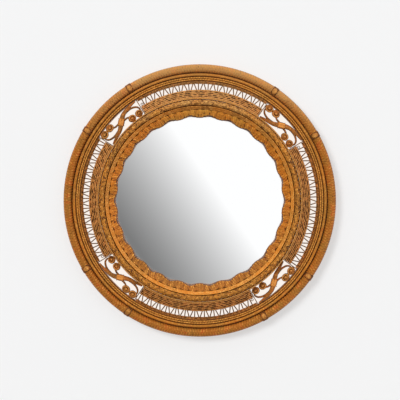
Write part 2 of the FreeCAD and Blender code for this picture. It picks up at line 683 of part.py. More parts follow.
def strap_screw_seat():
    return V(0, STRAP_THICKNESS - POCKET_DEPTH, -STRAP_SCREW_AT)


def strap_screw_shank(angle, gap):
    length = STRAP_SCREW_LENGTH + STRAP_THICKNESS + gap
    return placed(Part.makeCylinder(STRAP_SCREW_RADIUS + gap, length, strap_screw_seat(), V(0, -1, 0)), angle)


def strap_screw(angle):
    head = Part.makeCylinder(STRAP_SCREW_HEAD, STRAP_SCREW_HEIGHT, strap_screw_seat(), V(0, 1, 0))
    return solid(placed(head, angle).fuse(strap_screw_shank(angle, 0)))


# ---------------------------------------------------------------- the assembly
save("outer_frame_ring", outer_frame_ring())
save("outer_leaf_torus", outer_torus())
save("reeded_strip", reeded_strip())
save("ribbon_ties", *[ribbon_tie(angle + side * (WINDOW_DEG / 2 + stile_deg()))
                      for _, angle in CARTOUCHE_ANGLES for side in (-1, 1)])
for place, angle in CARTOUCHE_ANGLES:
    save("end_stile_" + place + "_a", end_stile(angle, -1))
    save("end_stile_" + place + "_b", end_stile(angle, 1))
    save("cartouche_scroll_" + place, cartouche(angle))
save("rosettes", *[rosette(angle, s, v) for _, angle in CARTOUCHE_ANGLES for s, v in rosette_places()])
for i, place in enumerate(PANEL_NAMES):
    save("outer_basket_rail_" + place, outer_rail(i))
    save("inner_basket_rail_" + place, inner_rail(i))
    save("trellis_" + place, *trellis(i))
save("inner_bead", inner_bead())
save("inner_leaf_torus", inner_torus())
save("carrier_ring", carrier_ring())
save("sight_slip", sight_slip())
save("mirror_glass", mirror_glass())
save("glass_cushion", glass_cushion())
save("glazing_blocks", *glazing_blocks())
save("backing_board", backing_board())
save("board_screws", *board_screws())
for place, angle in HANGER_ANGLES:
    save("hanger_strap_" + place, hanger_strap(angle))
    save("d_ring_" + place, d_ring(angle))
    save("strap_screw_" + place, strap_screw(angle))
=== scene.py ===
import math

import bmesh
import bpy
import numpy as np
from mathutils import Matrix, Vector


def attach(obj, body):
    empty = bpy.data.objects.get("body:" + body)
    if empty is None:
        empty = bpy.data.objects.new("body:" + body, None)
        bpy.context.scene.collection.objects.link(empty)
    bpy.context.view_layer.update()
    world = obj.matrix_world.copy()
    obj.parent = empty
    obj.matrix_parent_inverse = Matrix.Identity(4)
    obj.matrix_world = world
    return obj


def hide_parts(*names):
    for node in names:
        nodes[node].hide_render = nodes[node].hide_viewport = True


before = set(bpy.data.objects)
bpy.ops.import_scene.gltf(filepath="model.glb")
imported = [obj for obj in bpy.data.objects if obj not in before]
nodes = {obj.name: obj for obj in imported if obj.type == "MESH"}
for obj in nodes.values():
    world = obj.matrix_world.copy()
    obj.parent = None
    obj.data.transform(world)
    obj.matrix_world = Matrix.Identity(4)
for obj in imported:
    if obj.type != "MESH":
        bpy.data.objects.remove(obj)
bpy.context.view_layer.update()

# ---------------------------------------------------------------- camera and daylight
# The camera stands dead in front of the mirror, six metres away, with a long lens. Soft daylight comes
# from the upper left. The lamp itself stays out of reflections, where it would be a hard white disc in
# the glass.
CAMERA_PLACE = (0.0008, -6.0, 0.0015)
LENS = 162.6
SUN_STRENGTH = 1.92
SUN_ACROSS = 20  # degrees
TOWARD_SUN = (-0.54, -1.0, 0.40)

scene = bpy.context.scene
scene.view_settings.view_transform = "Standard"
camera = bpy.data.objects.new("camera", bpy.data.cameras.new("camera"))
camera.location = CAMERA_PLACE
camera.rotation_euler = (math.radians(90), 0, 0)
camera.data.lens = LENS
scene.collection.objects.link(camera)
scene.camera = camera

sun = bpy.data.objects.new("daylight", bpy.data.lights.new("daylight", "SUN"))
sun.data.energy = SUN_STRENGTH
sun.data.angle = math.radians(SUN_ACROSS)
sun.rotation_euler = Vector(TOWARD_SUN).to_track_quat("Z", "Y").to_euler()
sun.visible_glossy = False
scene.collection.objects.link(sun)

# ---------------------------------------------------------------- the room's light
# Plain soft light, a little stronger from above. Polished things see a grey lower left and a bright upper
# right, and the camera sees an even pale grey.
AMBIENT, FROM_ABOVE = 0.66, 0.10
SHINE_AHEAD, SHINE_RIGHT, SHINE_UP = 0.925, 1.10, 0.76
DARKEST_SHINE, BRIGHTEST_SHINE = 0.50, 1.03
SCREEN_POWER = 2.2
SEEN_STRENGTH = 0.93


class Value:
    """A number that varies over a surface. Arithmetic on it adds Math nodes to its finish."""

    def __init__(self, finish, socket):
        self.finish, self.socket = finish, socket

    def __add__(self, other):
        return self.finish.maths("ADD", self, other)

    def __sub__(self, other):
        return self.finish.maths("SUBTRACT", self, other)

    def __rsub__(self, other):
        return self.finish.maths("SUBTRACT", other, self)

    def __mul__(self, other):
        return self.finish.maths("MULTIPLY", self, other)

    def __pow__(self, other):
        return self.finish.maths("POWER", self, other)

    __radd__ = __add__
    __rmul__ = __mul__

    def size(self):
        """The value without its sign."""
        return self.finish.maths("ABSOLUTE", self)

    def larger(self, other):
        """The larger of this and another."""
        return self.finish.maths("MAXIMUM", self, other)

    def smaller(self, other):
        """The smaller of this and another."""
        return self.finish.maths("MINIMUM", self, other)

    def rise(self, low, high):
        """0 below low, 1 above high, and a soft step between them."""
        settings, inputs = {"interpolation_type": "SMOOTHSTEP"}, {0: self, 1: low, 2: high}
        return Value(self.finish, self.finish.add("MapRange", settings, inputs).outputs[0])


class Finish:
    """A material, or the world, while it is put together."""

    def __init__(self, name, constants=(), owner=None):
        self.material = owner or bpy.data.materials.new(name)
        self.material.use_nodes = True
        self.tree = self.material.node_tree
        self.shader = self.tree.nodes.get("Principled BSDF")
        for key, value in dict(constants).items():
            self.shader.inputs[key].default_value = value

    def add(self, kind, settings=(), inputs=()):
        """A node of a kind, with its settings first and then its sockets' values or links."""
        node = self.tree.nodes.new("ShaderNode" + kind)
        for key, value in dict(settings).items():
            setattr(node, key, value)
        for key, value in dict(inputs).items():
            self.feed(node.inputs[key], value)
        return node

    def feed(self, socket, value):
        """Link a value or another node's socket to a socket, or set it to a plain number or colour."""
        value = value.socket if isinstance(value, Value) else value
        if isinstance(value, bpy.types.NodeSocket):
            self.tree.links.new(value, socket)
        else:
            socket.default_value = value

    def set(self, **feeds):
        """Feed the shader's sockets; Base_Color stands for Base Color."""
        for key, value in feeds.items():
            self.feed(self.shader.inputs[key.replace("_", " ")], value)

    def maths(self, operation, *terms):
        """One Math node on numbers and values."""
        node = self.add("Math", {"operation": operation}, dict(enumerate(terms)))
        return Value(self, node.outputs[0])

    def place(self):
        return self.add("TexCoord").outputs["Object"]

    def axes(self):
        """X, Y and Z of the object's own coordinates, in metres."""
        node = self.add("SeparateXYZ", (), {0: self.place()})
        return [Value(self, socket) for socket in node.outputs]

    def radius(self):
        """The distance from the mirror's axis, in metres."""
        x, _, z = self.axes()
        return (x * x + z * z) ** 0.5

    def attribute(self, name):
        return Value(self, self.add("Attribute", {"attribute_name": name}).outputs["Fac"])

    def noise(self, scale, detail=3.0, where=None):
        """Soft noise about 0.5 over the object; a scale of 100 has marks about a centimetre across."""
        inputs = {"Vector": where or self.place(), "Scale": scale, "Detail": detail}
        return Value(self, self.add("TexNoise", (), inputs).outputs[0])

    def stretched(self, *scale):
        """The object's coordinates, each times its scale: a small one draws the pattern out that way."""
        return self.add("Mapping", (), {0: self.place(), "Scale": scale}).outputs[0]

    def mixed(self, factor, a, b):
        """Colour a where the factor is 0, colour b where it is 1."""
        return self.add("Mix", {"data_type": "RGBA"}, {0: factor, 6: a, 7: b}).outputs[2]

    def bumps(self, height, distance):
        """Height 0..1 stands for this distance in metres."""
        node = self.add("Bump", (), {"Strength": 1.0, "Distance": distance, "Height": height})
        self.set(Normal=node.outputs[0])

    def between(self, factor, a, b):
        """Make the surface shader a where the factor is 0 and shader b where it is 1."""
        shaders = self.add("MixShader", (), {0: factor, 1: a, 2: b})
        self.feed(self.tree.nodes["Material Output"].inputs["Surface"], shaders.outputs[0])


world = bpy.data.worlds.new("room")
scene.world = world
room = Finish("room", (), world)
toward = room.add("SeparateXYZ", (), {0: room.add("TexCoord").outputs["Generated"]})
right, up = Value(room, toward.outputs[0]), Value(room, toward.outputs[2])
shine = right * SHINE_RIGHT + up * SHINE_UP + SHINE_AHEAD
shine = shine.larger(DARKEST_SHINE).smaller(BRIGHTEST_SHINE) ** SCREEN_POWER
ray = room.add("LightPath").outputs
glossy, seen = Value(room, ray["Is Glossy Ray"]), Value(room, ray["Is Camera Ray"])
light = glossy * shine + (1 - glossy) * (up * FROM_ABOVE + AMBIENT)
background = room.tree.nodes["Background"]
background.inputs["Color"].default_value = (1, 1, 1, 1)
room.feed(background.inputs["Strength"], light * (1 - seen) + seen * SEEN_STRENGTH)

# ---------------------------------------------------------------- wall and floor
# The mirror hangs on a pale painted wall over a pale floor. Behind the openwork the camera sees the wall
# glow, pale and a little warm: a painted glow where the frame's shade would fall on it. Elsewhere it keeps
# a light shadow round the rim. Neither is there from behind or below, nor the floor in the glass.
WALL = 0.0012
FLOOR = -1.4
ROOM_HALF, ROOM_NEAR, ROOM_TOP = 5, -9, 3.5
PATCH_IN, PATCH_OUT = 0.4285, 0.4295  # radii between which the bright patch behind the openwork ends
WALL_GLOW = 0.6  # the share of the wall that the camera sees as its plain colour


def paint(red, green, blue):
    """A colour as it is mixed on paper, 0 to 255, turned to light: a power law with a short straight
    foot."""
    part = [c / 255 for c in (red, green, blue)]
    return (*[c / 12.92 if c <= 0.04045 else ((c + 0.055) / 1.055) ** 2.4 for c in part], 1.0)


wall_finish = Finish("painted_wall")
covered = 1 - wall_finish.radius().rise(PATCH_IN, PATCH_OUT)
seen = Value(wall_finish, wall_finish.add("LightPath").outputs["Is Camera Ray"])
behind = Value(wall_finish, wall_finish.add("NewGeometry").outputs["Backfacing"])
matt = wall_finish.add("BsdfDiffuse", (), {"Color": paint(245, 246, 247)}).outputs[0]
# Behind the openwork the wall's colour is a warm painted glow, in place of the frame's shade.
pale = wall_finish.mixed(covered, paint(241, 241, 241), paint(252, 243, 235))
glowing_wall = wall_finish.add("Emission", (), {"Color": pale, "Strength": 1.0}).outputs[0]
clear = wall_finish.add("BsdfTransparent").outputs[0]
front = wall_finish.add("MixShader", (), {0: covered.larger(seen * WALL_GLOW), 1: matt, 2: glowing_wall}).outputs[0]
wall_finish.between(behind.larger(covered * (1 - seen)), front, clear)

floor_finish = Finish("pale_floor")
ray = floor_finish.add("LightPath").outputs
behind = Value(floor_finish, floor_finish.add("NewGeometry").outputs["Backfacing"])
shade = floor_finish.mixed(ray["Is Camera Ray"], paint(150, 148, 145), paint(240, 240, 238))
matt = floor_finish.add("BsdfDiffuse", (), {"Color": shade}).outputs[0]
clear = floor_finish.add("BsdfTransparent").outputs[0]
floor_finish.between(behind.larger(ray["Is Glossy Ray"]), matt, clear)

left_foot, right_foot = (-ROOM_HALF, WALL, FLOOR), (ROOM_HALF, WALL, FLOOR)
wall_corners = [left_foot, right_foot, (ROOM_HALF, WALL, ROOM_TOP), (-ROOM_HALF, WALL, ROOM_TOP)]
floor_corners = [left_foot, (-ROOM_HALF, ROOM_NEAR, FLOOR), (ROOM_HALF, ROOM_NEAR, FLOOR), right_foot]
for name, corners, finish in (("wall", wall_corners, wall_finish), ("floor", floor_corners, floor_finish)):
    mesh = bpy.data.meshes.new(name)
    mesh.from_pydata(corners, [], [(0, 1, 2, 3)])
    mesh.materials.append(finish.material)
    thing = bpy.data.objects.new(name, mesh)
    scene.collection.objects.link(thing)

# ---------------------------------------------------------------- outer leaf torus
# A half round of carved wood and gesso, gilt and rubbed, that runs round the outside of the frame. Narrow
# leaves lap like feathers on both sides of its crest and meet at the top. It is glued on the frame's
# ledge.
TORUS_OUT, TORUS_IN = 449.85, 421.7
TORUS_FOOT, TORUS_SIDE = 31.0, 38.0
TORUS_CARVED = 1.18  # how far down its sides the carving reaches, where 1 is the edge of the round
LEAVES = 312
LEAF_DEPTH = 2.2
LEAF_STEPS = 7


def around(angle, radius, height):
    """Points in metres: r sin a to the right, the height to the viewer, r cos a up, a clockwise from the
    top."""
    a = np.radians(angle)
    parts = np.broadcast_arrays(radius * np.sin(a), -np.asarray(height, float), radius * np.cos(a))
    return np.stack(parts, -1) / 1000


def skin(name, grids, relief, along=True):
    """One mesh of several grids (rows, columns, xyz), each with its relief: four neighbours make a face.
    Columns run round a closed section. Rows run back to the first, or else each end gets a face over its
    section."""
    points, marks, faces, start = [], [], [], 0
    for grid, mark in zip(grids, relief):
        index = np.arange(grid[..., 0].size).reshape(grid.shape[:2]) + start
        near = index if along else index[:-1]
        far = np.roll(index, -1, 0) if along else index[1:]
        corners = (near, far, np.roll(far, -1, 1), np.roll(near, -1, 1))
        faces += np.stack(corners, -1).reshape(-1, 4).tolist()
        if not along:
            faces += [index[0].tolist(), index[-1, ::-1].tolist()]
        points.append(grid.reshape(-1, 3))
        marks.append(np.broadcast_to(mark, grid.shape[:2]).ravel())
        start += index.size
    mesh = bpy.data.meshes.new(name)
    mesh.from_pydata(np.concatenate(points).tolist(), [], faces)
    layer = mesh.attributes.new("relief", "FLOAT", "POINT")
    layer.data.foreach_set("value", np.concatenate(marks).astype(np.float32))
    form = bmesh.new()
    form.from_mesh(mesh)
    bmesh.ops.recalc_face_normals(form, faces=form.faces)
    form.to_mesh(mesh)
    form.free()
    mesh.shade_smooth()
    mesh.set_sharp_from_angle(angle=math.radians(50))
    return mesh


def mount(name, mesh, finish, slot, *replaced):
    """Put a piece of the fixed frame in place of its solids."""
    mesh.materials.append(finish.material)
    piece = bpy.data.objects.new(name, mesh)
    scene.collection.objects.link(piece)
    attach(piece, "frame")
    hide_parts(*replaced)


def gilding(name, ground, crest, groove=(70, 36, 14), tint=(158, 116, 52), rubbed=0.5, metal=0.4, mottle=75,
            painted_top_shading=0.0, top_shading_colour=(222, 172, 108), painted_low_shade=0.0, relief=None):
    """Old gold leaf over red clay. Hollows hold umber darkened further as painted shade, and the crests are
    bright gold with a painted highlight. Patches are rubbed to the clay, a greener gold shows in clouds some
    centimetres wide, the mirror's top gets a painted lighter or darker tone for light from above, and low
    down the colour is painted browner and darker as shade."""
    finish = Finish(name)
    height = relief(finish) if relief else finish.attribute("relief")
    cloud, patch = finish.noise(16, 3), finish.noise(mottle, 3)
    fleck, speck = finish.noise(210, 3), finish.noise(520, 2)
    level = height + (fleck - 0.5) * 1.1 + (patch - 0.5) * 0.6
    # A low level gives the groove colour, umber with painted shade; a high level gives the crest colour,
    # rubbed gold with a painted highlight.
    low, high = level.rise(0.04, 0.50), level.rise(0.58, 1.02)
    up = finish.axes()[2]
    uneven = (cloud - 0.5) * 0.2
    colour = finish.mixed(cloud.rise(0.42, 0.66) * 0.45, paint(*ground), paint(*tint))
    colour = finish.mixed(patch.rise(0.52, 0.66) * rubbed, colour, paint(188, 84, 28))
    # Towards the top the colour moves to the top colour: painted light or shade from above.
    colour = finish.mixed((up + uneven).rise(0.20, 0.42) * painted_top_shading, colour, paint(*top_shading_colour))
    # Low down the colour turns browner and darker: painted shade.
    colour = finish.mixed((0.04 - up + uneven).rise(0.0, 0.30) * painted_low_shade, colour, paint(132, 92, 48))
    colour = finish.mixed(high, colour, paint(*crest))
    colour = finish.mixed(low, paint(*groove), colour)
    finish.shader.inputs["Specular IOR Level"].default_value = 0.35
    finish.set(Base_Color=colour, Metallic=low * metal, Roughness=0.58 - high * 0.16 + (speck - 0.5) * 0.16)
    finish.bumps(speck * 0.5 + patch * 0.5, 0.0006)
    return finish


def half_round(outer, inner, foot, side, columns):
    """A half round on upright sides, as (radius, height, normal radius, normal height, place) from the
    outer foot over the crest to the inner foot; place runs from -1 to 1 over the round and is beyond it
    on the sides."""
    middle, r, upright = (outer + inner) / 2, (outer - inner) / 2, side - foot
    run = np.linspace(-upright, math.pi * r + upright, columns)
    turn = np.clip(run / r, 0, math.pi)
    radius = middle + r * np.cos(turn)
    height = side + r * np.sin(turn) + np.minimum(run, 0) + np.minimum(math.pi * r - run, 0)
    return radius, height, np.cos(turn), np.sin(turn), 2 * run / (math.pi * r) - 1


def bell(off, width):
    """A bell, 1 in its middle: e to the power of minus the square of off / width."""
    return np.exp(-(off / width) ** 2)


def feathers(t, s):
    """Height 0..1 of narrow leaves on both sides of a crest. t counts leaves along, s is the place
    across. Each leans back by half a pitch, rises from its stem to its tip, drops there, and has a rib
    and a rounded end."""
    off = np.abs(s)
    u = np.mod(t + 0.5 * off + 0.5 * (s < 0), 1.0)
    rise = 0.22 + (0.10 + 0.68 * u ** 0.9) * np.clip((1 - u) * 4, 0, 1)
    rib = 1 - 0.10 * bell(u - 0.5, 0.10)
    crest = 1 - 0.25 * bell(off, 0.07)
    end = np.clip((1.02 - off + 0.10 * np.sin(math.pi * u)) * 7, 0, 1)
    return rise * rib * crest * (0.3 + 0.7 * end)


angle = np.linspace(-180, 180, LEAVES * LEAF_STEPS, endpoint=False)[:, None]
radius, height, out, front, place = half_round(TORUS_OUT, TORUS_IN, TORUS_FOOT, TORUS_SIDE, 42)
leaf = feathers(LEAVES * np.abs(angle) / 360, place[None])
cut = LEAF_DEPTH * (1 - leaf) * np.clip((TORUS_CARVED - np.abs(place)) * 8, 0, 1)
torus = around(angle, radius - out * cut, height - front * cut)
# The leaf tips carry a painted highlight and the gaps between them painted shade, over umber and rubbed
# gold; the torus is painted lighter towards the top as light from above.
laurel_gilding = gilding("laurel_gilding", (176, 104, 32), (216, 146, 62), (76, 36, 8), (156, 116, 46),
                         rubbed=0.75, mottle=42, painted_top_shading=0.5)
mount("outer_leaf_torus_carved", skin("outer_leaf_torus_carved", [torus], [0.16 + 0.80 * leaf]),
      laurel_gilding, "gilt_carving", "outer_leaf_torus")

# ---------------------------------------------------------------- ribbon ties
# Eight carved ties that seem to bind the leaves, two over each cartouche. Each is a band over the torus
# with an oval boss on it, crossed by slanting strands, in a groove painted dark, umber and painted shade,
# and painted a little lighter towards the top as light from above. Gilt wood, glued over the torus.
CARTOUCHES = {"ne": 47.5, "se": 138.0, "sw": 225.9, "nw": 314.9}
HALF_WINDOW = 12.5
STILE = 0.56  # degrees that a stile takes
TORUS_MIDDLE = 435.8
TIE_HALF = 9.4
TIE_LOW, TIE_HIGH = 14.6, 17.45
TIE_FROM, TIE_TO = -28, 154  # degrees round the torus
BOSS_WIDE, BOSS_LONG = 8.6, 14.4
STRAND_PITCH = 7.5


def ripple(turns):
    """A wave between 0 and 1 with a crest at each whole turn."""
    return 0.5 + 0.5 * np.cos(2 * math.pi * turns)


def tie(angle):
    """A band round the torus: its height over the torus is a dome over an ellipse, carved into slanting
    strands, less a ring groove round it, and it falls away to the band's own edge."""
    s = np.linspace(-TIE_HALF, TIE_HALF, 30)[:, None]
    turn = np.radians(np.linspace(TIE_FROM, TIE_TO, 60))[None]
    length = (turn - math.pi / 2) * TIE_HIGH
    oval = np.hypot(s / BOSS_WIDE, length / BOSS_LONG)
    dome = np.clip(1 - oval ** 2, 0, 1) ** 0.5
    strands = ripple((s * 1.2 + length) / STRAND_PITCH)
    edge = np.clip((TIE_HALF - np.abs(s)) / 1.6, 0, 1) ** 0.5
    level = 0.26 * edge + dome * (0.42 + 0.36 * strands) - 0.55 * bell(oval - 1.06, 0.09)
    level = np.clip(level, 0, 1)
    outside = TIE_LOW + (TIE_HIGH - TIE_LOW) * (0.12 + 0.88 * level)
    inside = np.full_like(outside, TIE_LOW - 0.2)
    wrap, drop = np.maximum(turn, 0), 0.72 * TIE_HIGH * np.clip(-turn, 0, 1)
    along = angle + np.degrees(s / TORUS_MIDDLE)
    face, back = (around(along, TORUS_MIDDLE + r * np.cos(wrap), TORUS_SIDE + r * np.sin(wrap) - drop)
                  for r in (outside, inside))
    return np.concatenate((face, back[:, ::-1]), 1), np.concatenate((level, 0 * level), 1)


ties = [tie(middle + side * (HALF_WINDOW + STILE)) for middle in CARTOUCHES.values() for side in (-1, 1)]
tie_gilding = gilding("tie_gilding", (176, 106, 42), (222, 158, 78), (78, 42, 12), (160, 118, 50), painted_top_shading=0.2)
mesh = skin("ribbon_ties_carved", [t[0] for t in ties], [t[1] for t in ties], along=False)
mount("ribbon_ties_carved", mesh, tie_gilding, "gilt_carving", "ribbon_ties")

# ---------------------------------------------------------------- outer frame ring
# The turned ring of lime wood that carries everything: a ledge for the torus, a quirk on each side of a
# bright astragal, and another inside the reeds. The quirks are painted dark, umber and painted shade. Its
# front is gilt, and painted lighter towards the top as light from above. Its back, with two pockets for the
# hangers, is bare.
QUIRKS = (0.4206, 0.4092, 0.3944)
RING_BARE = 0.003
POCKET_MIDDLE, POCKET_HALF, POCKET_DEEP = 0.4166, 0.0215, 0.016


def moulding_relief(quirks, top, half):
    """The relief of a turned ring: 0 in its quirks, which are given by their radii and half width, top
    elsewhere."""
    def relief(finish):
        r, level = finish.radius(), 1.0
        for quirk in quirks:
            level = (r - quirk).size().rise(half * 0.5, half * 1.7) * level
        return level * top
    return relief


def bare_back(finish, depth, pockets=None):
    """Leave the wood bare near the back plane: pale, with upright fibres. Pockets are given as a middle
    radius, a half width and a depth, inside which the wood is bare too."""
    y = finish.axes()[1]
    bare = y.rise(-depth, -depth + 0.0012)
    if pockets:
        middle, half, deep = pockets
        aside = (finish.radius() - middle).size().rise(half, half + 0.0005)
        bare = bare.larger((1 - aside) * y.rise(-deep - 0.001, -deep))
    fibre = finish.noise(900, 2, finish.stretched(1, 1, 0.05))
    wood = finish.mixed(fibre.rise(0.3, 0.7), paint(150, 112, 74), paint(186, 148, 104))
    gilt, metallic = (finish.shader.inputs[name].links[0].from_socket for name in ("Base Color", "Metallic"))
    finish.set(Base_Color=finish.mixed(bare, gilt, wood), Metallic=Value(finish, metallic) * (1 - bare))


def refinish(name, finish):
    """Give a solid that keeps its shape its own finish."""
    slots = nodes[name].material_slots
    if not len(slots):
        nodes[name].data.materials.append(finish.material)
    for slot in slots:
        slot.material = finish.material


ring_gilding = gilding("moulding_gilding", (200, 126, 42), (236, 170, 82), (100, 54, 12), rubbed=0.4,
                       painted_top_shading=0.15, relief=moulding_relief(QUIRKS, 0.62, 0.0012))
bare_back(ring_gilding, RING_BARE, (POCKET_MIDDLE, POCKET_HALF, POCKET_DEEP))
refinish("outer_frame_ring", ring_gilding)

# ---------------------------------------------------------------- reeded strip
# A low gilt strip of two reeds side by side, nicked at a slant like cord, pressed in composition and
# glued in its seat beside the astragal.
REED_OUT, REED_WIDTH = 408.25, 6.25
REED_FOOT, REED_EDGE = 38.0, 41.0
REED_CROWN = 2.0
NICKS, NICK_DEPTH = 288, 0.6

angle = np.linspace(0, 360, NICKS * 6, endpoint=False)[:, None]
k = np.linspace(0, 2, 25)[None]
crown = np.abs(np.sin(math.pi * k)) ** 0.7
nick = ripple(angle * NICKS / 360 + 0.5 * k)
radius = np.concatenate((REED_OUT - REED_WIDTH * k[0], [REED_OUT - 2 * REED_WIDTH, REED_OUT]))
height = REED_EDGE + REED_CROWN * crown - NICK_DEPTH * (1 - nick) * crown
height = np.concatenate((height, np.full((len(angle), 2), REED_FOOT)), 1)
# The reeds' crowns carry a painted highlight, and the nicks and feet painted shade.
mark = np.concatenate((0.04 + 0.66 * crown ** 2 + 0.28 * nick * crown, np.zeros((len(angle), 2))), 1)
reed_gilding = gilding("reed_gilding", (184, 112, 36), (234, 166, 76), (84, 44, 10), rubbed=0.3)
mesh = skin("reeded_strip_carved", [around(angle, radius[None], height)], [mark])
mount("reeded_strip_carved", mesh, reed_gilding, "gilt_carving", "reeded_strip")

# ---------------------------------------------------------------- basketwork rails
# Each panel of the openwork stands between two curved rails woven from split cane and gilt: strands lie
# along the rail with slots between them, staggered like bricks, the slots painted near black as shade and
# the crowns with a painted highlight. The rails are painted lighter towards the top as light from above.
# The inner rail is wide and slopes to the glass.
PANELS = ("right", "bottom", "left", "top")
OUTER_RAIL = {"outer": 392.9, "inner": 384.95, "outer_h": 38.9, "inner_h": 35.4,
              "rows": 3, "slot_length": 13.0, "share": 0.58, "depth": 2.0}
INNER_RAIL = {"outer": 365.4, "inner": 337.6, "outer_h": 43.9, "inner_h": 59.9,
              "rows": 5, "slot_length": 25.0, "share": 0.60, "depth": 2.6}
RAIL_THICK = 5.9
STEP_ALONG, STEPS_A_STRAND = 1.25, 7
rng = np.random.default_rng(7)


def woven(start, end, outer, inner, outer_h, inner_h, rows, slot_length, share, depth):
    """A sloping band with a slot wherever the distance to a line between two strands is small and the
    place along is in that line's share of its period; each strand is crowned across and waves a little
    along."""
    reach = math.radians(end - start) * (outer + inner) / 2
    t = np.linspace(0, 1, int(reach / STEP_ALONG))[:, None]
    w = np.linspace(0, 1, rows * STEPS_A_STRAND + 1)[None]
    wave = 0.10 * np.sin(2 * math.pi * t * reach / 31 + 3)
    row = w * rows + wave * np.sin(math.pi * w)
    line = np.clip(np.rint(row).astype(int), 0, rows)
    shift = rng.random(rows + 1) * 0.35 + 0.5 * (np.arange(rows + 1) % 2)
    stretch = 1 + 0.16 * (rng.random(rows + 1) - 0.5)
    drift = 0.20 * np.sin(2 * math.pi * (t * (4 + 5 * rng.random(rows + 1)) + rng.random(rows + 1)))
    moved = shift[line] + np.take_along_axis(drift, line, 1)
    phase = np.mod(t * reach / slot_length * stretch[line] + moved, 1.0)
    opened = np.clip((share / 2 - np.abs(phase - 0.5)) * 14, 0, 1) * ((line > 0) & (line < rows))
    slot = opened * np.exp(-(np.abs(row - line) / 0.29) ** 4)
    crown = np.abs(np.sin(math.pi * row))
    # The level is low in the slots and at the strands' edges, where the gilding paints shade, and high on
    # the crowns, where it paints a highlight.
    level = np.clip((0.16 + 0.78 * crown) * (1 - slot), 0, 1)
    level[:, 0] = level[:, -1] = 0.5
    radius = outer + (inner - outer) * w + 0 * t
    height = outer_h + (inner_h - outer_h) * w - depth * (1 - level)
    place = start + (end - start) * t
    back = around(place, np.array([[inner, (inner + outer) / 2, outer]]),
                  np.array([[inner_h, (inner_h + outer_h) / 2, outer_h]]) - RAIL_THICK)
    return (np.concatenate((around(place, radius, height), back), 1),
            np.concatenate((level, np.zeros((len(t), 3))), 1))


# The near-black groove colour is the painted shade in the slots.
cane_gilding = gilding("basketwork_gilding", (164, 98, 38), (222, 158, 88), (40, 20, 6), (132, 92, 42),
                       metal=0.25, painted_top_shading=0.4)
starts = list(CARTOUCHES.values())
for panel, start, end in zip(PANELS, starts, starts[1:] + [starts[0] + 360]):
    for side, rail, bright in (("outer", OUTER_RAIL, 0.85), ("inner", INNER_RAIL, 1.0)):
        name = side + "_rail_woven_" + panel
        grid, mark = woven(start + HALF_WINDOW + STILE, end - HALF_WINDOW - STILE, **rail)
        mount(name, skin(name, [grid], [mark * bright], along=False),
              cane_gilding, "basketwork", side + "_basket_rail_" + panel)

# ---------------------------------------------------------------- trellis and end stiles
# Thin bars of bronzed iron between the rails: two that lean together and one upright, over and over, with
# a small curl in the first cell, and a flat plate across the rails' ends at each cartouche. Let in and
# pinned.
bronze = Finish("bronzed_bars")
cloud, speck = bronze.noise(90, 3), bronze.noise(700, 2)
colour = bronze.mixed(cloud.rise(0.35, 0.65), paint(98, 70, 46), paint(144, 102, 62))
colour = bronze.mixed(speck.rise(0.62, 0.74) * 0.6, colour, paint(176, 124, 68))
bronze.set(Base_Color=colour, Metallic=cloud.rise(0.3, 0.7) * 0.4, Roughness=0.50 + speck * 0.2)
bronze.bumps(speck, 0.0004)
for panel in PANELS:
    refinish("trellis_" + panel, bronze)
for cartouche in CARTOUCHES:
    for end in "ab":
        refinish("end_stile_" + cartouche + "_" + end, bronze)

# ---------------------------------------------------------------- cartouche scrolls
# Each window holds a carved S-shaped stem that runs from the inner bead to the outer moulding, with a
# square collar at its middle, and thin tendrils that curl round to the rosettes. Gilt lime wood, pegged
# at both ends.
OPEN_MIDDLE = 365.3
HALF_OPEN = 27.8
BACK = 36.1
STEM_HIGH = 8.8
TENDRIL_LOW, TENDRIL_HIGH = 1.4, 6.2
TILT = math.atan2(0.53, 0.79)  # the stem's slope where the collar sits
# lines of (along, out, width): along and out in halves of the openwork's width, the width in millimetres
STEM = [(0.0, 0.0, 17.0), (0.40, 0.28, 16.5), (0.85, 0.53, 14.5), (1.35, 0.68, 12.5), (1.95, 0.79, 9.5),
        (2.74, 0.90, 5.0)]
LONG_TENDRIL = [(-0.40, -0.32, 8.4), (-1.08, -0.48, 7.8), (-1.87, -0.50, 7.0), (-2.46, -0.28, 6.4),
                (-2.70, 0.04, 5.8), (-2.70, 0.34, 5.0)]
SHORT_TENDRIL = [(-0.10, 0.02, 7.4), (-0.40, 0.07, 7.0), (-0.79, 0.10, 6.4), (-1.08, 0.20, 5.8),
                 (-1.24, 0.34, 5.0)]
# the collar and the two beads beside it: place along the stem, width, height and half length
COLLAR = ((0.0, 22.0, 12.8, 8.4), (-9.6, 24.0, 11.6, 1.6), (9.6, 24.0, 11.6, 1.6))


def smooth(points, count):
    """Points on a soft line through the given ones: a cubic on each run, whose slopes come from its
    neighbours."""
    p = np.asarray(points, float)
    p = np.vstack((2 * p[0] - p[1], p, 2 * p[-1] - p[-2]))
    at = np.linspace(0, len(p) - 3, count)
    i = np.minimum(at.astype(int), len(p) - 4)
    t = (at - i)[:, None]
    a, b, c, d = p[i], p[i + 1], p[i + 2], p[i + 3]
    bend, twist = 2 * a - 5 * b + 4 * c - d, 3 * b - a - 3 * c + d
    return 0.5 * (2 * b + (c - a) * t + bend * t ** 2 + twist * t ** 3)


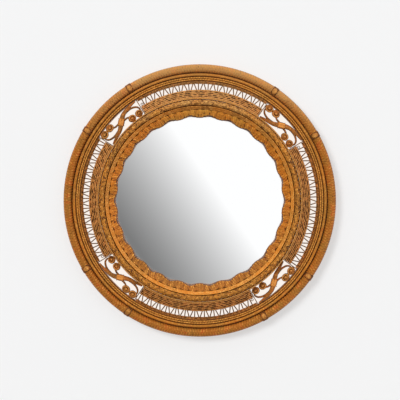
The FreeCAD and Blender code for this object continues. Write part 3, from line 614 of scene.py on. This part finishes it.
def strand(angle, line, low, high, count, reeds, shine):
    """A carved strand along a line of (along, out, width) in millimetres: an upright-sided crown over a
    flat back, with reeds across it. It thins where its width falls, and shine scales how bright its crest
    stays."""
    s, v, width = smooth(line, count).T
    ds, dv = np.gradient(s), np.gradient(v)
    length = np.hypot(ds, dv)
    turn = np.linspace(0, math.pi, 23)
    side = np.sign(np.cos(turn)) * np.abs(np.cos(turn)) ** 0.8
    groove = np.broadcast_to(1 - ripple(reeds * (side + 1) / 2), (count, len(side)))
    top = np.sin(turn) ** 0.7
    # The crown carries a painted highlight, scaled by shine, and the reed grooves painted shade.
    level = shine * top * (0.55 + 0.45 * groove)
    thick = (high - low) * np.clip(width / width.max(), 0, 1)[:, None] ** 0.35
    height = low + thick * (0.22 + 0.78 * top * (0.86 + 0.14 * groove))
    across = np.concatenate((side, [-0.96, 0.96]))[None] * width[:, None] / 2
    height = np.concatenate((height, np.full((count, 2), low)), 1)
    level = np.concatenate((level, np.zeros((count, 2))), 1)
    along = s[:, None] - dv[:, None] / length[:, None] * across
    out = v[:, None] + ds[:, None] / length[:, None] * across
    return around(angle + np.degrees(along / OPEN_MIDDLE), OPEN_MIDDLE + out, height), level


def sized(line, hand):
    """A line in millimetres, turned half round where hand is -1."""
    return [(hand * s * HALF_OPEN, hand * v * HALF_OPEN, width) for s, v, width in line]


def scroll(angle):
    """The stem, its collar and four tendrils; the second half of each is the first, turned half round."""
    stem = sized(STEM[:0:-1], -1) + sized(STEM, 1)
    parts = [strand(angle, stem, BACK, BACK + STEM_HIGH, 90, 3.0, 0.8)]
    for hand in (1, -1):
        for line in (LONG_TENDRIL, SHORT_TENDRIL):
            tendril = sized(line, hand)
            parts.append(strand(angle, tendril, BACK + TENDRIL_LOW, BACK + TENDRIL_HIGH, 40, 1.0, 0.44))
    for middle, width, high, half in COLLAR:
        places = [(middle + k * half, width * (1 - 0.10 * k * k)) for k in (-1, -0.9, -0.4, 0, 0.4, 0.9, 1)]
        band = [(at * math.cos(TILT), at * math.sin(TILT), wide) for at, wide in places]
        parts.append(strand(angle, band, BACK, BACK + high, 16, 2.0, 1.4))
    return parts


scroll_gilding = gilding("scroll_gilding", (164, 98, 38), (228, 150, 70), (66, 40, 20), (128, 96, 50),
                         rubbed=0.45, metal=0.35)
for cartouche, middle in CARTOUCHES.items():
    parts = scroll(middle)
    name = "scroll_carved_" + cartouche
    mesh = skin(name, [p[0] for p in parts], [p[1] for p in parts], along=False)
    mount(name, mesh, scroll_gilding, "gilt_scroll", "cartouche_scroll_" + cartouche)

# ---------------------------------------------------------------- rosettes
# Four oval buds in each window, in pairs that touch: a rolled leaf that winds in to a round boss, carved
# in the same wood as the scroll and gilt.
LONG, SHORT = 14.3, 12.5
BUD_BACK, BUD_EDGE = 37.0, 1.6
BUD_INWARD = 12.2 + 0.6  # half a solid bud's width and its gap to the window's edge
FIRST_BUD, BUD_PITCH = 14.2, 27.8  # along, from the window's end to a bud's middle and on to the next


def rosette(angle, s, v, hand):
    """A disc over an ellipse with a rolled rim, cut by a spiral of a little over one turn and notched at
    its rim by seven petals, with a round boss at its middle."""
    rho = np.concatenate(([0.02], np.linspace(0.06, 1, 22)))[:, None]
    turn = np.linspace(0, 2 * math.pi, 56, endpoint=False)[None]
    spiral = np.mod(1.7 * rho - hand * turn / (2 * math.pi), 1.0)
    step = bell(np.minimum(spiral, 1 - spiral), 0.13) * np.clip((rho - 0.26) * 6, 0, 1)
    petal = 0.5 + 0.5 * np.cos(7 * turn + 2 * rho)
    boss = np.clip(1 - (rho / 0.32) ** 2, 0, 1) ** 0.5
    roll = bell(rho - 0.80, 0.15)
    # Painted shade in the spiral cut and a painted highlight on the rolled rim and the boss.
    level = np.clip(0.46 + 0.42 * roll - 0.55 * step + 0.50 * boss + 0.12 * petal * (rho > 0.6), 0, 1)
    level = level * (rho < 0.96)
    dome = 4.2 * (1 - rho ** 6) ** 0.6 + 1.2 * roll + 4.0 * boss - 1.9 * step * (rho < 0.97)
    height = BUD_BACK + BUD_EDGE + dome
    height[-1] = BUD_BACK
    edge = 1 - 0.03 * (1 - petal) * (rho > 0.5)
    place = s + LONG * rho * edge * np.cos(turn)
    out = v + SHORT * rho * edge * np.sin(turn)
    return around(angle + np.degrees(place / OPEN_MIDDLE), OPEN_MIDDLE + out, height), level


def rosette_places():
    """The middles of the four buds, worked out from the window's width as their solids are."""
    out = HALF_OPEN - BUD_INWARD
    for side in (1, -1):
        first = math.radians(HALF_WINDOW) - FIRST_BUD / (OPEN_MIDDLE + side * out)
        second = first - BUD_PITCH / (OPEN_MIDDLE + side * out)
        for place in (first, second):
            yield -side * place * OPEN_MIDDLE, side * out, side


buds = [rosette(middle, *place) for middle in CARTOUCHES.values() for place in rosette_places()]
bud_gilding = gilding("rosette_gilding", (172, 104, 42), (222, 154, 80), (70, 38, 14), metal=0.35)
mesh = skin("rosettes_carved", [b[0] for b in buds], [b[1] for b in buds], along=False)
mount("rosettes_carved", mesh, bud_gilding, "gilt_scroll", "rosettes")

# ---------------------------------------------------------------- inner bead
# A thin bright fillet between the basketwork and the inner torus, of gilt wood. Its crown is worn a
# little in waves round the ring. It is bent round the outside of the carrier ring and glued.
BEAD_MIDDLE = 335.25
BEAD_ACROSS = np.array([[2.1, 2.1, 1.6, 0.8, 0.0, -0.8, -1.6, -2.1, -2.1]])
BEAD_HEIGHT = np.array([[54.0, 60.0, 61.3, 62.0, 62.2, 62.0, 61.3, 60.0, 54.0]])
BEAD_WAVES, BEAD_WAVE = 17, 0.15

angle = np.linspace(0, 360, 720, endpoint=False)[:, None]
worn = BEAD_WAVE * (1 + np.sin(np.radians(angle) * BEAD_WAVES))
height = BEAD_HEIGHT - worn * np.array([[0, 0, 1, 1, 1, 1, 1, 0, 0]])
# The crown carries a painted highlight and the feet painted shade.
mark = np.broadcast_to(np.array([[0.0, 0.4, 0.8, 1.0, 1.0, 1.0, 0.8, 0.4, 0.0]]), height.shape)
bead_gilding = gilding("bead_gilding", (186, 120, 50), (214, 154, 80), (90, 52, 20), rubbed=0.25)
mesh = skin("inner_bead_turned", [around(angle, BEAD_MIDDLE + BEAD_ACROSS, height)], [mark])
mount("inner_bead_turned", mesh, bead_gilding, "gilt_frame", "inner_bead")

# ---------------------------------------------------------------- inner leaf torus
# The second carved half round, smaller than the outer one: three rows of short leaves that cross, with
# berries where they part. No two leaves stand alike. Carved wood and gesso, gilt, glued on the carrier's
# ledge.
SPRIGS = 140
SPRIG_OUT, SPRIG_IN = 332.0, 311.3
SPRIG_FOOT, SPRIG_SIDE = 56.0, 61.0
SPRIG_CARVED = 1.14
SPRIG_DEPTH = 2.6
SPRIG_PITCH, HALF_ACROSS = 14.4, 16.3  # millimetres along for each leaf, and from the crest to the side
# berries, one to every two leaves: place along, place across and size
BERRIES = ((0.25, 0.32, 0.15), (0.75, -0.30, 0.15), (0.5, -0.92, 0.14))


def foliage(t, s, rows, spread, width):
    """Height 0..1 of leaves that lap like scales. t counts leaves along, s is the place across. A leaf is
    one and a half pitches long and narrows to a blunt tip, its top rises to the tip and is crowned
    across, each has its own height and lean, and at each point the highest leaf shows."""
    best = np.zeros(np.broadcast(t, s).shape)
    for row in range(rows):
        grown, lean = rng.random(SPRIGS + 2), rng.random(SPRIGS + 2) - 0.5
        for lap in (0.0, 1.0):
            along = np.broadcast_to(t + 0.5 * (row % 2), best.shape)
            index = np.mod(np.floor(along - lap).astype(int), SPRIGS)
            u = (np.mod(along, 1.0) + lap) / 1.5
            middle = spread * (row - (rows - 1) / 2) * 2 / (rows - 1) + lean[index] * 0.5 * (u - 0.5)
            half = width * np.clip(1 - u ** 2.4, 0, 1) ** 0.75 + 1e-6
            off = np.abs(s - middle)
            crown = np.clip(1 - (off / half) ** 4, 0, 1) ** 0.5 * (0.15 + 0.85 * u)
            crown = crown * (0.45 + 0.55 * grown[index]) * (1 - 0.30 * bell(off, 0.16 * width))
            best = np.maximum(best, crown * (u < 1))
    return best


angle = np.linspace(0, 360, SPRIGS * 12, endpoint=False)[:, None]
radius, height, out, front, place = half_round(SPRIG_OUT, SPRIG_IN, SPRIG_FOOT, SPRIG_SIDE, 40)
t = SPRIGS * angle / 360
level = foliage(t, place[None], 3, 0.66, 0.40)
for shift, middle, size in BERRIES:
    along = (np.mod(t / 2 + shift, 1.0) - 0.5) * 2 * SPRIG_PITCH / HALF_ACROSS
    berry = np.clip(1 - (along ** 2 + (place[None] - middle) ** 2) / size ** 2, 0, 1) ** 0.5
    level = np.maximum(level, 0.9 * berry)
cut = SPRIG_DEPTH * (1 - level) * np.clip((SPRIG_CARVED - np.abs(place)) * 8, 0, 1)
# Leaf tips and berries carry a painted highlight and the gaps painted shade; the torus is painted lighter
# towards the top as light from above.
sprig_gilding = gilding("sprig_gilding", (214, 140, 52), (255, 204, 116), (92, 48, 12),
                        rubbed=0.32, painted_top_shading=0.7)
mesh = skin("inner_leaf_torus_carved", [around(angle, radius - out * cut, height - front * cut)], [level])
mount("inner_leaf_torus_carved", mesh, sprig_gilding, "gilt_carving", "inner_leaf_torus")

# ---------------------------------------------------------------- carrier ring
# The inner turned ring, with the plain burnished slope inside the torus. It holds the glass and the slip,
# and the board is let into its back. Gilt in front, bare wood behind.
SLOPE_QUIRK = 0.3111
CARRIER_BARE = 0.004
# The slope is painted darker towards the top, as the torus's shade on it, and its quirk dark as umber and
# painted shade.
slope_gilding = gilding("slope_gilding", (232, 142, 46), (252, 184, 90), (120, 62, 16), painted_top_shading=0.9,
                        top_shading_colour=(122, 64, 12), relief=moulding_relief((SLOPE_QUIRK,), 0.7, 0.0006))
bare_back(slope_gilding, CARRIER_BARE)
refinish("carrier_ring", slope_gilding)

# ---------------------------------------------------------------- ruffled sight slip
# The leafy edge round the glass: twenty-six scallops, each a ruffled leaf with fine veins, whose three
# pointed tips lap on the slope. Cast in composition, gilt, and set in the carrier against the glass.
SCALLOPS, TIPS = 26, 3
SCALLOP_STEPS = 66
SIGHT, WAVE, NIBBLE = 279.1, 4.0, 0.7
TIP_OUT, TIP_CUT, TIP_UNEVEN = 299.9, 1.6, 2.4
SLOPE_FROM, SLOPE_WIDE = 274.0, 26.0
SLIP_LOW, SLIP_RISE, SLIP_CROWN = 30.6, 22.0, 3.4
SLIP_BACK, SLIP_LEAST, SLIP_MOST = 27.1, 28.0, 53.4

u = np.linspace(0, SCALLOPS, SCALLOPS * SCALLOP_STEPS, endpoint=False)[:, None]
w = np.linspace(0, 1, 38)[None]
bulge = ripple(u)
tip = 1 - np.abs(2 * np.mod(TIPS * u + 0.5, 1.0) - 1)
sight = SIGHT - WAVE * (2 * bulge - 1) - NIBBLE * np.abs(np.sin(5 * math.pi * u))
uneven = np.repeat(rng.random(SCALLOPS * TIPS), SCALLOP_STEPS // TIPS)[:, None]
rim = TIP_OUT - (TIP_CUT + TIP_UNEVEN * uneven) * (1 - tip ** 0.9)
radius = sight + (rim - sight) * w
depth = np.clip((radius - SLOPE_FROM) / SLOPE_WIDE, 0, 1)
sway = u + 0.05 * np.sin(2 * math.pi * (u * 2 + w)) * w
fold = np.abs(np.cos(TIPS * math.pi * sway)) ** 0.6
vein = ripple(11 * u + 0.9 * w + 0.5 * np.sin(2 * math.pi * u))
ruffle = ripple(5 * u + 0.35 * np.sin(2 * math.pi * u))
lip = bell(w - 0.10, 0.09)
level = 0.08 + 0.46 * fold * w + 0.38 * vein * (1 - 0.4 * w) + 0.38 * ruffle * (1 - w) + 0.14 * lip
# The rim is painted darker between the tips, as shade where they part.
level = np.clip(level - 0.12 * bell(w - 1, 0.04) * (1 - tip), 0, 1)
height = SLIP_LOW + SLIP_RISE * depth + SLIP_CROWN * np.sin(math.pi * depth)
height = height - 1.8 * (1 - fold) * w - 0.7 * (1 - vein) - 1.5 * (1 - ruffle) * (1 - w)
height = np.clip(height + 1.4 * bulge * (1 - w) + 0.8 * lip, SLIP_LEAST, SLIP_MOST)
turn = u * 360 / SCALLOPS
back = around(turn, np.concatenate((rim, (rim + sight) / 2, sight + 0.3), 1), SLIP_BACK)
# The slip is painted brighter towards the top, as light thrown up from the glass, and browner and darker low
# down as painted shade.
slip_gilding = gilding("slip_gilding", (218, 128, 36), (255, 182, 82), (96, 46, 10), (176, 118, 34),
                       rubbed=0.45, painted_top_shading=0.9, top_shading_colour=(255, 192, 84), painted_low_shade=0.45)
mesh = skin("sight_slip_ruffled", [np.concatenate((around(turn, radius, height), back), 1)],
            [np.concatenate((level, np.zeros((len(turn), 3))), 1)])
mount("sight_slip_ruffled", mesh, slip_gilding, "gilt_slip", "sight_slip")

# ---------------------------------------------------------------- mirror glass
# One sheet of glass, slumped to a shallow dome and silvered on its back, held in the carrier by blocks.
# The silvering is a little tired towards the edge.
GLASS, EDGE, RISE, THICK = 290.0, 20.0, 23.0, 4.0
POLISH, TIRED = 0.012, 0.08
TIRED_FROM, TIRED_TO = 0.268, 0.292

ball = (GLASS ** 2 + RISE ** 2) / (2 * RISE)  # the radius of the sphere that the dome is cut from
r = GLASS * np.sin(np.linspace(0.0008, math.pi / 2, 72))
dome = EDGE + RISE - ball + np.sqrt(ball ** 2 - r ** 2)
radius = np.concatenate((r, r[::-1]))
height = np.concatenate((dome + THICK, dome[::-1]))
angle = np.linspace(0, 360, 240, endpoint=False)
grid = around(angle[None], radius[:, None], height[:, None])
silver = Finish("silvered_glass", {"Roughness": POLISH, "IOR": 1.52})
edge = (silver.radius() + (silver.noise(30, 3) - 0.5) * 0.012).rise(TIRED_FROM, TIRED_TO)
colour = silver.mixed(edge * 0.5, (0.93, 0.935, 0.94, 1), (0.72, 0.73, 0.70, 1))
silver.set(Base_Color=colour, Metallic=1 - edge * 0.25, Roughness=POLISH + edge * TIRED)
mesh = skin("silvered_glass", [grid], [np.ones(grid.shape[:2])], along=False)
mount("silvered_glass", mesh, silver, "mirror_glass", "mirror_glass")

# ---------------------------------------------------------------- felt cushion
# A soft strip of grey brown wool felt between the edge of the glass and the slip, so that the glass can't
# chip. It is a flat ring cut from sheet, and keeps the shape of its solid.
wool = Finish("wool_felt", {"Roughness": 0.95})
fluff, thread = wool.noise(1500, 3), wool.noise(260, 4)
wool.set(Base_Color=wool.mixed(fluff.rise(0.3, 0.7), paint(48, 45, 40), paint(86, 80, 70)))
wool.bumps(fluff * 0.6 + thread * 0.4, 0.0008)
refinish("glass_cushion", wool)

# ---------------------------------------------------------------- backing board and glazing blocks
# A round board of planed pine closes the back, held by eight screws; short pine blocks glued to it press
# on the glass's edge. The grain runs across, and the wood has darkened with age.
PLANKS = 9.2  # to the metre
YEAR_RINGS = 40
pine = Finish("planed_pine")
grain = pine.stretched(0.10, 1.0, 1.0)
rings, fibre, stain = pine.noise(34, 2, grain), pine.noise(1100, 2, grain), pine.noise(6, 3)
bands = pine.maths("SINE", rings * YEAR_RINGS) * 0.5 + 0.5
plank = pine.maths("FRACT", pine.axes()[2] * PLANKS + 40)
gap = (plank - 0.5).size().rise(0.488, 0.497)
colour = pine.mixed(bands.rise(0.2, 0.9) * 0.6, paint(176, 136, 92), paint(140, 98, 60))
colour = pine.mixed(fibre.rise(0.4, 0.7) * 0.35, colour, paint(112, 78, 48))
colour = pine.mixed(stain.rise(0.5, 0.75) * 0.4, colour, paint(104, 76, 50))
colour = pine.mixed(gap, colour, paint(40, 28, 18))
pine.set(Base_Color=colour, Roughness=0.72 + fibre * 0.15)
pine.bumps(fibre * 0.4 + bands * 0.3 - gap * 0.6, 0.0009)
for name in ("backing_board", "glazing_blocks"):
    refinish(name, pine)

# ---------------------------------------------------------------- screws and hangers
# Eight countersunk screws hold the board. At each side a steel strap is screwed into a pocket of the
# outer ring, and its rolled end holds a D-ring of round wire that can swing out. All zinc plated, dull
# with age.
zinc = Finish("zinc_plate")
cloud, scratch = zinc.noise(120, 3), zinc.noise(900, 2)
dull = scratch.rise(0.62, 0.75)
colour = zinc.mixed(cloud.rise(0.35, 0.65), paint(150, 146, 138), paint(186, 182, 172))
colour = zinc.mixed(dull * 0.5, colour, paint(120, 96, 70))
zinc.set(Base_Color=colour, Metallic=0.95 - dull * 0.4, Roughness=0.30 + cloud * 0.2)
zinc.bumps(scratch, 0.0003)
refinish("board_screws", zinc)
for side in ("left", "right"):
    for part in ("hanger_strap_", "strap_screw_", "d_ring_"):
        refinish(part + side, zinc)
